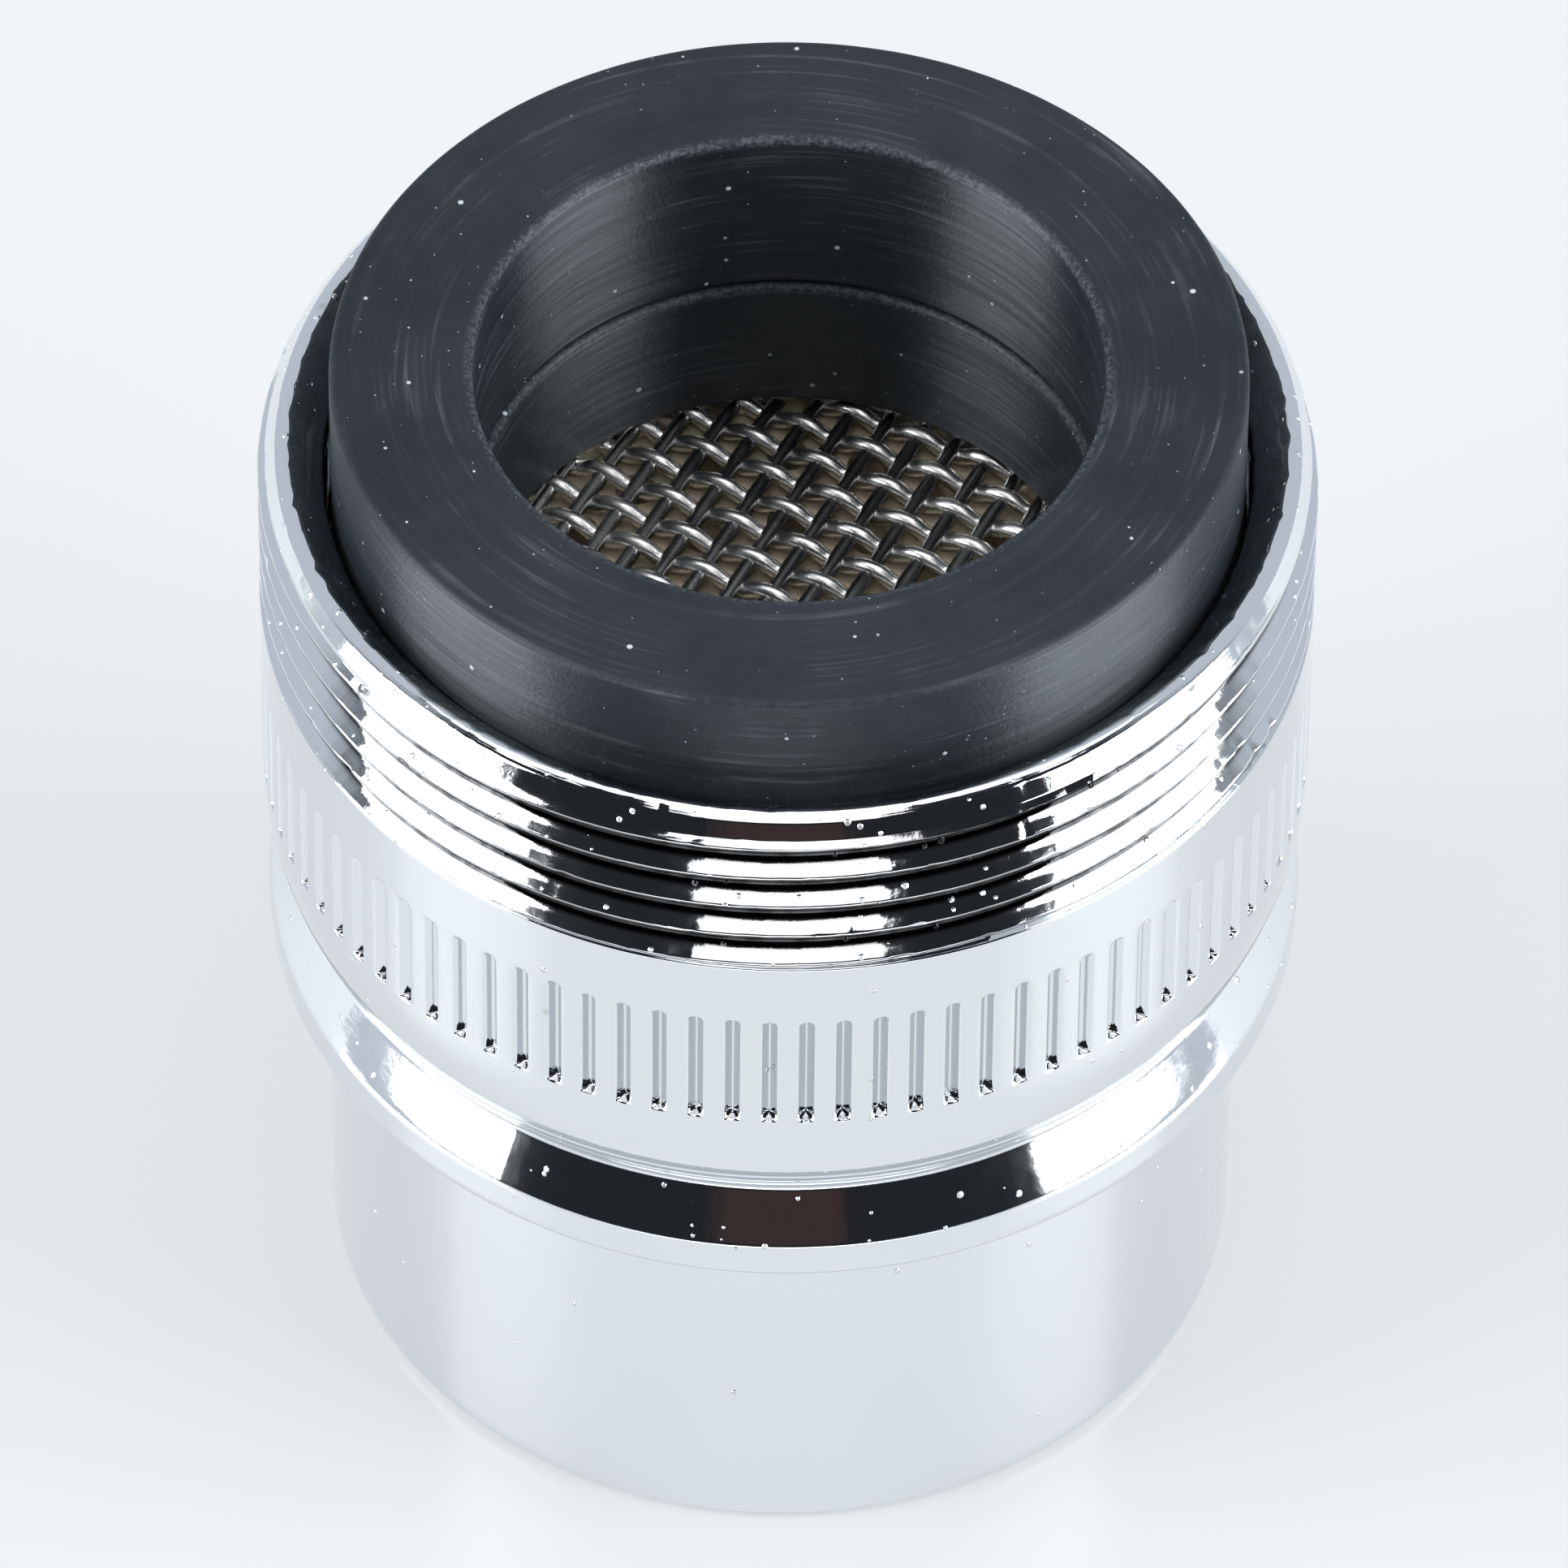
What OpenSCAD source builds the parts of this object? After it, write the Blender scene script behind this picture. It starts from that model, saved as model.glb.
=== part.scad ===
// Dual-thread faucet adapter with an aerator inside, standing on its outlet.
// Origin: centre of the foot. +Z runs along the axis, up towards the inlet.
// Lengths are in millimetres.

/* [Housing threads] */
// Outside diameter of the spout thread
male_thread_d = 23.8; // [23.4:0.1:25.4]
// Height of the threaded length, from the collar to the rim
male_thread_len = 4.5; // [3.6:0.1:7]
// Distance from one thread crest to the next
thread_pitch = 0.94; // [0.8:0.02:1.2]
// Depth of the thread, from crest to root
thread_depth = 0.54; // [0.4:0.02:0.6]
// Width of a crest's flat top
crest_w = 0.13; // [0.08:0.01:0.2]
// Bevel on the outer edge of the rim
rim_bevel = 0.5; // [0.2:0.05:0.6]
// Bore of the inner thread, where the washers sit
inner_bore_d = 20.8; // [20.4:0.1:21.2]
// Bevel at the mouth of the inner thread
mouth_bevel = 0.75; // [0.3:0.05:0.8]
// Depth of the inner seat below the rim
seat_depth = 7.15; // [6.4:0.05:8]

/* [Fluted collar] */
// Diameter of the collar
collar_d = 23.8; // [23.4:0.1:25.4]
// Height of the straight part of the collar
collar_h = 5.5; // [5:0.1:8]
// Height of the rounded part that runs in to the waist
collar_round_h = 2.8; // [2:0.1:3.4]
// Number of flutes round the collar
flute_count = 90; // [48:1:100]
// Turn of the first flute from the +X direction, in degrees
flute_turn = 0.7; // [0:0.1:4]
// Width of a flute at the surface
flute_w = 0.38; // [0.25:0.01:0.42]
// Width of the root of a flute
flute_root_w = 0.1; // [0.06:0.01:0.16]
// Depth of a flute
flute_depth = 0.22; // [0.12:0.01:0.4]
// Length of a flute
flute_len = 3.35; // [2.4:0.05:4.2]
// Plain strip between the flutes and the rounded part
flute_foot = 0.4; // [0.2:0.05:0.7]

/* [Waist, flare and skirt] */
// Diameter of the waist
waist_d = 22.05; // [21.6:0.05:23]
// Height of the flare below the waist
flare_h = 1.2; // [0.8:0.05:2]
// Diameter of the band below the flare
band_d = 23.6; // [23.2:0.1:25]
// Height of the band
band_h = 1.05; // [0.6:0.05:2]
// Radius along the lower edge of the band
band_edge_r = 0.3; // [0.1:0.05:0.5]
// Diameter of the skirt
skirt_d = 20.9; // [20.7:0.1:21.6]
// Height of the skirt
skirt_h = 10.05; // [7:0.05:14]
// Radius along the outer edge of the foot
foot_edge_r = 0.35; // [0.1:0.05:0.5]
// Bore that holds the insert
insert_bore_d = 19.1; // [18.8:0.1:19.4]
// Thickness of the lip that holds the insert up
lip_h = 1.2; // [0.8:0.1:1.8]
// Opening in the lip
lip_opening_d = 17.6; // [17.4:0.1:17.8]

/* [Washers] */
// Play between a washer and the inner thread, on the radius
washer_play = 0.14; // [0.05:0.01:0.3]
// Thickness of the upper washer
thick_washer_t = 4.65; // [3:0.05:6]
// Bore of the upper washer
thick_washer_bore_d = 14.1; // [12:0.1:15]
// Thickness of the lower washer
lower_washer_t = 3.7; // [2:0.05:5]
// Bore of the lower washer
lower_washer_bore_d = 13.8; // [12:0.1:15]
// Bevel along the edges of the washers
washer_bevel = 0.18; // [0.05:0.01:0.3]

/* [Inlet screen] */
// Distance from one wire to the next
inlet_pitch = 0.85; // [0.8:0.05:1.2]
// Thickness of a wire
inlet_wire_d = 0.38; // [0.3:0.01:0.42]
// Direction of the upper wires, seen from above
inlet_weave_angle = -26; // [-90:1:90]
// Radius inside which the gaps between the wires are open
inlet_open_r = 5.2; // [3:0.1:5.4]
// Diameter of the woven part inside the pressed rim
inlet_weave_d = 14.2; // [13:0.1:15]
// Play between the screen's rim and the inner thread, on the radius
screen_play = 0.3; // [0.1:0.05:0.5]

/* [Jet disc] */
// Thickness of the flange that sits on the seat
jet_flange_t = 0.4; // [0.3:0.05:1]
// Thickness of the plug below the flange
jet_plug_t = 1.5; // [1:0.1:3]
// Diameter of one jet
jet_d = 0.95; // [0.6:0.05:1.1]
// Number of jets in the outer ring
outer_jet_count = 20; // [8:1:24]
// Radius of the outer ring of jets
outer_jet_ring_r = 5.9; // [5.4:0.1:6.2]
// Number of jets in the inner ring
inner_jet_count = 12; // [6:1:14]
// Radius of the inner ring of jets
inner_jet_ring_r = 3.8; // [3:0.1:4.2]
// Diameter of the cone under the middle of the disc
jet_cone_d = 4.4; // [2:0.1:4.8]
// Height of that cone
jet_cone_h = 2.2; // [1:0.1:4]

/* [Insert sleeve] */
// Play between the insert's pieces and their bores, on the radius
insert_play = 0.1; // [0.05:0.01:0.25]
// Outside diameter of the sleeve between its ribs
sleeve_d = 16.6; // [16:0.1:17]
// Wall of the sleeve
sleeve_wall = 0.7; // [0.5:0.05:1]
// Number of ribs, with one air window between each two
sleeve_rib_count = 8; // [4:1:12]
// Width of a rib
sleeve_rib_w = 1; // [0.6:0.1:1.6]
// Width of an air window
air_window_w = 3; // [1.5:0.1:3.2]
// Height of an air window
air_window_h = 1.8; // [1:0.1:3]
// Height of the ring above the windows
sleeve_top_ring_h = 0.7; // [0.5:0.1:2]
// Thickness of the ledge at the foot of the sleeve
ledge_t = 0.7; // [0.5:0.1:1.2]
// Width of that ledge
ledge_w = 0.7; // [0.5:0.05:1]

/* [Fine screens] */
// Thickness of a fine screen at its pressed rim
fine_screen_t = 0.44; // [0.3:0.02:0.6]
// Distance from one wire to the next
fine_pitch = 1.15; // [1:0.05:1.6]
// Thickness of a wire
fine_wire_d = 0.22; // [0.15:0.01:0.3]
// Radius inside which the gaps between the wires are open
fine_open_r = 5; // [3:0.1:5.4]
// Width of the pressed rim
fine_rim_w = 1; // [0.6:0.05:1.4]
// Height of a spacer ring between two screens
spacer_h = 1.6; // [1:0.1:2.4]
// Wall of a spacer ring
spacer_wall = 0.8; // [0.5:0.05:1.2]

/* [Hidden] */
$fn = 96;
// Overshoot of a cut past the face it opens
cut = 0.5;
// Room between a flute's sides and the outline that rounds its upper end
flute_clear = 0.04;
// Angle of a thread's flank from the level
flank_angle = 30;
// Share of the thread's wall that its grooves may take
groove_share = 0.4;

// Heights of the housing's steps, from the foot up
band_z = skirt_h;
flare_z = band_z + band_h;
waist_z = flare_z + flare_h;
collar_z = waist_z + collar_round_h;
thread_z = collar_z + collar_h;
rim_z = thread_z + male_thread_len;
seat_z = rim_z - seat_depth;

// Radii of the housing
male_r = male_thread_d / 2;
inner_r = inner_bore_d / 2;
collar_r = collar_d / 2;
waist_r = waist_d / 2;
band_r = band_d / 2;
skirt_r = skirt_d / 2;
bore_r = insert_bore_d / 2;

// The thread is drawn as level rings. Its lowest groove is the run-out, which reaches the collar
groove_depth = min(thread_depth, groove_share * (male_r - inner_r));
flank_h = groove_depth * tan(flank_angle);
root_h = thread_pitch - crest_w - 2 * flank_h;
groove_top_z = rim_z - rim_bevel - crest_w;
groove_count = floor((groove_top_z - thread_z) / thread_pitch);

// The rounded part of the collar is an arc that starts upright at the collar and ends at the waist
round_in = collar_r - waist_r;
round_r = (pow(collar_round_h, 2) + pow(round_in, 2)) / (2 * round_in);

// Heights of the pieces stacked on the seat
screen_z = seat_z + jet_flange_t;
screen_t = 2 * inlet_wire_d;
lower_washer_z = screen_z + screen_t;
thick_washer_z = lower_washer_z + lower_washer_t;
washer_r = inner_r - washer_play;

// The insert stands on the lip and reaches up to the jet disc
plug_z = seat_z - jet_plug_t;
sleeve_z = lip_h;
sleeve_h = plug_z - sleeve_z;
sleeve_r = sleeve_d / 2;
sleeve_in_r = sleeve_r - sleeve_wall;
rib_r = bore_r - insert_play;
window_z = plug_z - sleeve_top_ring_h - air_window_h;
outlet_screen_z = sleeve_z + ledge_t;
spacer_lower_z = outlet_screen_z + fine_screen_t;
mixing_lower_z = spacer_lower_z + spacer_h;
spacer_upper_z = mixing_lower_z + fine_screen_t;
mixing_upper_z = spacer_upper_z + spacer_h;
stack_r = sleeve_in_r - insert_play;

// Outline of the housing's outside: skirt, band, flare, waist, collar and thread, from the foot up
module housing_outline() {
    difference() {
        union() {
            square([skirt_r, band_z + band_h]);
            translate([0, band_z]) square([band_r, band_h]);
            polygon([[0, flare_z], [band_r, flare_z], [waist_r, waist_z], [0, waist_z]]);
            translate([0, waist_z]) square([waist_r, collar_round_h]);
            intersection() {
                translate([collar_r - round_r, collar_z]) circle(round_r);
                translate([0, waist_z]) square([collar_r, collar_round_h]);
            }
            translate([0, collar_z]) square([collar_r, collar_h]);
            polygon([
                [0, thread_z], [male_r, thread_z], [male_r, rim_z - rim_bevel],
                [male_r - rim_bevel, rim_z], [0, rim_z]
            ]);
        }
        thread_grooves();
        outer_round(skirt_r, 0, foot_edge_r);
        outer_round(band_r, band_z, band_edge_r);
    }
}

// Grooves of the thread, from the rim down to the run-out above the collar
module thread_grooves() {
    root_r = male_r - groove_depth;
    for (i = [0 : groove_count - 1]) {
        top_z = groove_top_z - i * thread_pitch;
        root_z = top_z - flank_h - root_h;
        polygon([
            [root_r, root_z], [root_r, top_z - flank_h], [male_r, top_z], [male_r + cut, top_z],
            [male_r + cut, root_z - flank_h], [male_r, root_z - flank_h]
        ]);
    }
    runout_top_z = groove_top_z - (groove_count - 1) * thread_pitch - flank_h;
    translate([root_r, thread_z]) square([groove_depth + cut, runout_top_z - thread_z]);
}

// What is taken off a lower outer corner at (r, z) to round it
module outer_round(r, z, edge_r) {
    difference() {
        translate([r - edge_r, z - cut]) square([edge_r + cut, edge_r + cut]);
        translate([r - edge_r, z + edge_r]) circle(edge_r);
    }
}

// Outline of the housing's inside: lip, bore, seat, inner thread and mouth
module housing_hollow() {
    translate([0, -cut]) square([lip_opening_d / 2, lip_h + 2 * cut]);
    translate([0, lip_h]) square([bore_r, seat_z - lip_h]);
    translate([0, seat_z]) square([inner_r, seat_depth + cut]);
    polygon([
        [0, rim_z - mouth_bevel], [inner_r, rim_z - mouth_bevel],
        [inner_r + mouth_bevel, rim_z], [inner_r + mouth_bevel, rim_z + cut], [0, rim_z + cut]
    ]);
}

// One flute: a trough with sloping sides, rounded at its upper end and square at its foot
module flute_cut() {
    z = collar_z + flute_foot;
    spread = (flute_w - flute_root_w) / 2 / flute_depth;
    mouth_half = flute_w / 2 + spread * cut;
    clip_w = flute_w + flute_clear;
    intersection() {
        translate([0, 0, z - cut]) linear_extrude(flute_len + 2 * cut) polygon([
            [collar_r - flute_depth, -flute_root_w / 2], [collar_r + cut, -mouth_half],
            [collar_r + cut, mouth_half], [collar_r - flute_depth, flute_root_w / 2]
        ]);
        translate([collar_r - flute_depth - cut, 0, z]) rotate([90, 0, 90])
            linear_extrude(flute_depth + 2 * cut) union() {
                translate([-clip_w / 2, 0]) square([clip_w, flute_len - clip_w / 2]);
                translate([0, flute_len - clip_w / 2]) circle(clip_w / 2);
            }
    }
}

module housing() {
    color([0.84, 0.87, 0.9]) difference() {
        rotate_extrude() difference() {
            housing_outline();
            housing_hollow();
        }
        for (i = [0 : flute_count - 1]) rotate(flute_turn + i * 360 / flute_count) flute_cut();
    }
}

// A flat ring with bevelled edges
module washer(bore_r, t) {
    rotate_extrude() polygon([
        [bore_r + washer_bevel, 0], [washer_r - washer_bevel, 0], [washer_r, washer_bevel],
        [washer_r, t - washer_bevel], [washer_r - washer_bevel, t], [bore_r + washer_bevel, t],
        [bore_r, t - washer_bevel], [bore_r, washer_bevel]
    ]);
}

module thick_washer() {
    color([0.16, 0.17, 0.19]) translate([0, 0, thick_washer_z])
        washer(thick_washer_bore_d / 2, thick_washer_t);
}

module lower_washer() {
    color([0.13, 0.13, 0.14]) translate([0, 0, lower_washer_z])
        washer(lower_washer_bore_d / 2, lower_washer_t);
}

// A woven disc: a pressed rim, wires across the top one way and across the bottom the other way,
// and open gaps near the middle
module woven_screen(outer_r, rim_w, pitch, wire, t, open_r, angle) {
    weave_r = outer_r - rim_w;
    ridge = (t - wire) / 2;
    count = floor(weave_r / pitch);
    gap = pitch - wire;
    rotate(angle) difference() {
        union() {
            difference() {
                cylinder(r = outer_r, h = t);
                translate([0, 0, -cut]) cylinder(r = weave_r, h = t + 2 * cut);
            }
            translate([0, 0, ridge]) cylinder(r = weave_r + rim_w / 2, h = wire);
            for (i = [-count : count]) {
                reach = sqrt(pow(weave_r, 2) - pow(i * pitch, 2)) + rim_w / 3;
                translate([-reach, i * pitch - wire / 2, ridge]) cube([2 * reach, wire, t - ridge]);
                translate([i * pitch - wire / 2, -reach, 0]) cube([wire, 2 * reach, t - ridge]);
            }
        }
        for (i = [-count : count - 1], j = [-count : count - 1]) {
            x = (i + 0.5) * pitch;
            y = (j + 0.5) * pitch;
            if (norm([x, y]) < open_r) translate([x - gap / 2, y - gap / 2, -cut])
                cube([gap, gap, t + 2 * cut]);
        }
    }
}

module inlet_screen() {
    outer_r = inner_r - screen_play;
    color([0.74, 0.75, 0.76]) translate([0, 0, screen_z]) woven_screen(
        outer_r, outer_r - inlet_weave_d / 2, inlet_pitch, inlet_wire_d, screen_t,
        inlet_open_r, inlet_weave_angle
    );
}

module jet_ring(count, ring_r) {
    for (i = [0 : count - 1]) rotate(i * 360 / count) translate([ring_r, 0, plug_z - cut])
        cylinder(d = jet_d, h = jet_plug_t + jet_flange_t + 2 * cut, $fn = 16);
}

module jet_disc() {
    color([0.86, 0.82, 0.72]) difference() {
        union() {
            translate([0, 0, seat_z]) cylinder(r = inner_r - screen_play, h = jet_flange_t);
            translate([0, 0, plug_z]) cylinder(r = rib_r, h = jet_plug_t + jet_flange_t / 2);
            translate([0, 0, plug_z - jet_cone_h])
                cylinder(d1 = jet_cone_d / 4, d2 = jet_cone_d, h = jet_cone_h);
        }
        jet_ring(outer_jet_count, outer_jet_ring_r);
        jet_ring(inner_jet_count, inner_jet_ring_r);
    }
}

module insert_sleeve() {
    color([0.86, 0.82, 0.72]) difference() {
        union() {
            translate([0, 0, sleeve_z]) cylinder(r = sleeve_r, h = sleeve_h);
            for (i = [0 : sleeve_rib_count - 1]) rotate(i * 360 / sleeve_rib_count) intersection() {
                translate([0, -sleeve_rib_w / 2, sleeve_z]) cube([bore_r, sleeve_rib_w, window_z - sleeve_z]);
                translate([0, 0, sleeve_z]) cylinder(r = rib_r, h = sleeve_h);
            }
        }
        translate([0, 0, outlet_screen_z]) cylinder(r = sleeve_in_r, h = sleeve_h);
        translate([0, 0, sleeve_z - cut]) cylinder(r = sleeve_in_r - ledge_w, h = sleeve_h);
        for (i = [0 : sleeve_rib_count - 1]) rotate((i + 0.5) * 360 / sleeve_rib_count)
            translate([sleeve_in_r / 2, -air_window_w / 2, window_z])
                cube([sleeve_r, air_window_w, air_window_h]);
    }
}

module fine_screen(z, angle) {
    translate([0, 0, z]) woven_screen(
        stack_r, fine_rim_w, fine_pitch, fine_wire_d, fine_screen_t, fine_open_r, angle
    );
}

module spacer_ring(z) {
    translate([0, 0, z]) difference() {
        cylinder(r = stack_r, h = spacer_h);
        translate([0, 0, -cut]) cylinder(r = stack_r - spacer_wall, h = spacer_h + 2 * cut);
    }
}

module mixing_screen_upper() {
    color([0.7, 0.71, 0.72]) fine_screen(mixing_upper_z, 0);
}

module spacer_ring_upper() {
    color([0.86, 0.82, 0.72]) spacer_ring(spacer_upper_z);
}

module mixing_screen_lower() {
    color([0.7, 0.71, 0.72]) fine_screen(mixing_lower_z, 30);
}

module spacer_ring_lower() {
    color([0.86, 0.82, 0.72]) spacer_ring(spacer_lower_z);
}

module outlet_screen() {
    color([0.7, 0.71, 0.72]) fine_screen(outlet_screen_z, 60);
}

housing();
thick_washer();
lower_washer();
inlet_screen();
jet_disc();
insert_sleeve();
mixing_screen_upper();
spacer_ring_upper();
mixing_screen_lower();
spacer_ring_lower();
outlet_screen();
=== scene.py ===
"""Dual-thread faucet adapter: chrome housing, rubber washers, woven screens, cream insert, stage and camera.

Every length in the code is in millimetres unless a name or a property says otherwise, and is turned
into metres where a mesh, light or camera is made.
"""

import math

import bpy
import numpy as np
from mathutils import Euler, Matrix, Vector, noise


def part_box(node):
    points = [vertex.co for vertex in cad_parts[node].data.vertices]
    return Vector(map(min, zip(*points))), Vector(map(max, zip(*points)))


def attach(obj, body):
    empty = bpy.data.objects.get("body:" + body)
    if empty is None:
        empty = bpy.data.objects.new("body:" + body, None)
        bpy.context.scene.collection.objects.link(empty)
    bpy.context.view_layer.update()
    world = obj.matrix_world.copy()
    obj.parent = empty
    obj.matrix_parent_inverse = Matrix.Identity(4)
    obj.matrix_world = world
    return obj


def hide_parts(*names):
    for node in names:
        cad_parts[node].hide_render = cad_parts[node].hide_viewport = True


bl_info = {
    "name": "Faucet adapter",
    "version": (1, 0, 0),
    "blender": (4, 5, 0),
    "location": "View3D > Sidebar > Adapter",
    "description": "Dresses the faucet adapter's solids with its thread, flutes, weave and finishes",
    "category": "Object",
}

MM = 0.001
BODY = "root"

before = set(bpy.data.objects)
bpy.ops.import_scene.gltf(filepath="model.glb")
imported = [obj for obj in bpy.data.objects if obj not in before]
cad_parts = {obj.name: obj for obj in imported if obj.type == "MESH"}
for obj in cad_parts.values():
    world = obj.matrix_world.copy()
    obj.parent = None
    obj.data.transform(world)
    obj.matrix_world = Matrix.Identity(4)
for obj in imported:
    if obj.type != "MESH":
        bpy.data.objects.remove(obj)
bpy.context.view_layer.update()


def node_span(node):
    """(lowest z, highest z, outer radius) of a CAD node, in millimetres."""
    low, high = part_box(node)
    return low[2] / MM, high[2] / MM, (high[0] - low[0]) / 2 / MM


# ---------------------------------------------------------------- sizes and colours


def length(name, text, default_mm, low=0.0, high=100.0):
    """A length property, shown in the scene's own unit and given here in millimetres."""
    return bpy.props.FloatProperty(
        name=name, description=text, default=default_mm * MM, min=low * MM, max=high * MM,
        unit="LENGTH", precision=5,
    )


def colour(name, text, default):
    """A colour property."""
    return bpy.props.FloatVectorProperty(
        name=name, description=text, subtype="COLOR", size=3, default=default, min=0.0, max=1.0
    )


def share(name, text, default, high=1.0):
    """A plain number from zero up."""
    return bpy.props.FloatProperty(name=name, description=text, default=default, min=0.0, max=high)


class AdapterThreadSizes(bpy.types.PropertyGroup):
    """Sizes of the housing's outer thread."""

    crest_d: length("Crest diameter", "Diameter over the crests", 23.8)
    depth: length("Depth", "Depth of the thread from crest to root", 0.41, 0.1, 0.8)
    crest_round: length("Crest rounding", "Radius of the rounded crests", 0.07, 0.02, 0.3)
    flank: bpy.props.FloatProperty(
        name="Flank angle", description="Angle of the plated flanks from level",
        default=math.radians(37.5), min=math.radians(20), max=math.radians(45), subtype="ANGLE",
    )
    pitch: length("Pitch", "Rise of the thread in one turn", 0.9407, 0.3, 3.0)
    crest_z: length("Crest height", "Height of a crest at the front of the housing", 23.57)
    low_z: length("Lower end", "Height of the collar's top, where the thread runs out", 20.6)
    high_z: length("Upper end", "Height of the rim", 25.1)
    bevel_tall: length("Bevel height", "Height of the bevel on the rim's outer edge", 0.48, 0.1, 1.0)
    bevel_deep: length("Bevel depth", "How far the bevel draws the rim in", 0.49, 0.1, 1.0)
    nick_depth: length("Nick depth", "Depth of the small dents along the crests", 0.05, 0.0, 0.2)


class AdapterCollarSizes(bpy.types.PropertyGroup):
    """Sizes of the fluted collar, the waist, the flare, the band and the skirt."""

    flute_count: bpy.props.IntProperty(
        name="Flutes", description="Number of flutes round the collar", default=90, min=24, max=120
    )
    flute_turn: bpy.props.FloatProperty(
        name="First flute", description="Direction of the first flute from +X",
        default=math.radians(0.7), subtype="ANGLE",
    )
    flute_w: length("Flute width", "Width of a flute at the surface", 0.38, 0.1, 1.0)
    flute_depth: length("Flute depth", "Depth of a flute", 0.22, 0.05, 0.6)
    flute_low_z: length("Flute foot", "Height of the foot of the flutes", 15.5)
    flute_high_z: length("Flute top", "Height of the rounded tops of the flutes", 18.85)
    collar_d: length("Collar diameter", "Diameter of the collar", 23.8)
    collar_z: length("Collar foot", "Height where the collar starts to round in", 15.1)
    waist_d: length("Waist diameter", "Diameter of the waist", 22.05)
    waist_z: length("Waist height", "Height of the waist", 12.3)
    band_d: length("Band diameter", "Diameter of the band below the flare", 23.6)
    band_high_z: length("Band top", "Height of the band's upper edge", 11.1)
    band_low_z: length("Band foot", "Height of the band's lower edge", 10.05)
    skirt_d: length("Skirt diameter", "Diameter of the skirt", 20.9)


class AdapterFinish(bpy.types.PropertyGroup):
    """Colours of the finishes."""

    chrome: colour("Chrome", "Colour of the plating", (0.79, 0.825, 0.86))
    brass: colour("Brass", "Colour that shows through at the inner rim", (0.47, 0.30, 0.20))
    rubber: colour("Rubber", "Colour of the washers", (0.0045, 0.007, 0.010))
    dust: colour("Dust", "Colour of the dust on the rubber", (0.55, 0.61, 0.67))
    wire: colour("Inlet wire", "Colour of the inlet screen's wires", (0.86, 0.86, 0.85))
    fine_wire: colour("Fine wire", "Colour of the fine screens' wires", (0.56, 0.56, 0.55))
    plastic: colour("Cream plastic", "Colour of the insert's plastic", (0.66, 0.58, 0.43))
    floor: colour("Floor", "Colour of the floor", (0.88, 0.905, 0.925))


class AdapterStage(bpy.types.PropertyGroup):
    """Strengths of the lights."""

    side_light: share("Side lights", "Brightness of the two side lights", 10.5, 100.0)
    front_light: share("Front card", "Brightness of the card that lies on the floor in front", 2.0, 100.0)
    top_light: share("Top light", "Brightness of the lights above", 1.3, 100.0)
    room: colour("Room", "Colour of the dark part of the room, in front of the object", (0.018, 0.020, 0.024))
    back: colour("Back wall", "Colour of the room behind the object and beside it", (0.57, 0.61, 0.67))
    card: colour("Warm card", "Colour of the small card under the camera", (0.050, 0.032, 0.031))


# ---------------------------------------------------------------- mesh helpers


class Skin:
    """Collects rings of points and the faces between them, and makes one mesh of them."""

    def __init__(self):
        self.points = []
        self.faces = []
        self.count = 0

    def ring(self, points):
        """Adds a closed ring of points, and returns (its first index, its number of points)."""
        start = self.count
        self.points.append(np.asarray(points, float))
        self.count += len(points)
        return start, len(points)

    def round_ring(self, angles, r, z):
        """Adds a ring about the axis. r and z are numbers or one number for each angle."""
        xyz = np.empty((len(angles), 3))
        xyz[:, 0] = r * np.cos(angles)
        xyz[:, 1] = r * np.sin(angles)
        xyz[:, 2] = z
        return self.ring(xyz)

    def join(self, a, b):
        """Faces between two rings whose numbers of points are equal, or one a multiple of the other."""
        (ia, na), (ib, nb) = a, b
        n = min(na, nb)
        sa, sb = na // n, nb // n
        for i in range(n):
            lower = [ia + (i * sa + k) % na for k in range(sa + 1)]
            upper = [ib + (i * sb + k) % nb for k in range(sb, -1, -1)]
            self.faces.append(lower + upper)

    def cap(self, a, flip=False):
        """Closes a ring with one face."""
        start, n = a
        loop = list(range(start, start + n))
        self.faces.append(loop[::-1] if flip else loop)

    def build(self, name, body=BODY):
        """Makes the mesh object in metres, smooth, with normals that follow the larger faces."""
        mesh = bpy.data.meshes.new(name)
        xyz = np.concatenate(self.points) * MM
        mesh.from_pydata(xyz.tolist(), [], self.faces)
        mesh.validate()
        mesh.update()
        mesh.shade_smooth()
        soft_normals(mesh)
        piece = bpy.data.objects.new(name, mesh)
        bpy.context.scene.collection.objects.link(piece)
        return piece


def soft_normals(mesh):
    """Sets each point's normal to the mean of its faces' normals, weighted by their areas."""
    n_faces, n_loops, n_points = len(mesh.polygons), len(mesh.loops), len(mesh.vertices)
    normals = np.empty(n_faces * 3)
    mesh.polygons.foreach_get("normal", normals)
    areas = np.empty(n_faces)
    mesh.polygons.foreach_get("area", areas)
    totals = np.empty(n_faces, int)
    mesh.polygons.foreach_get("loop_total", totals)
    corners = np.empty(n_loops, int)
    mesh.loops.foreach_get("vertex_index", corners)
    weighted = np.repeat(normals.reshape(-1, 3) * areas[:, None], totals, axis=0)
    summed = np.stack([np.bincount(corners, weighted[:, k], n_points) for k in range(3)], axis=1)
    summed /= np.maximum(np.linalg.norm(summed, axis=1, keepdims=True), 1e-20)
    mesh.normals_split_custom_set_from_vertices(summed.tolist())


def rough(x, y, z, scale):
    """Smooth noise between about -1 and 1 at a point, with its features 1/scale apart."""
    return noise.noise(Vector((x * scale, y * scale, z * scale)))


def evenly(n, turn=0.0):
    """n angles round the axis."""
    return turn + np.arange(n) * 2 * math.pi / n


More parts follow.
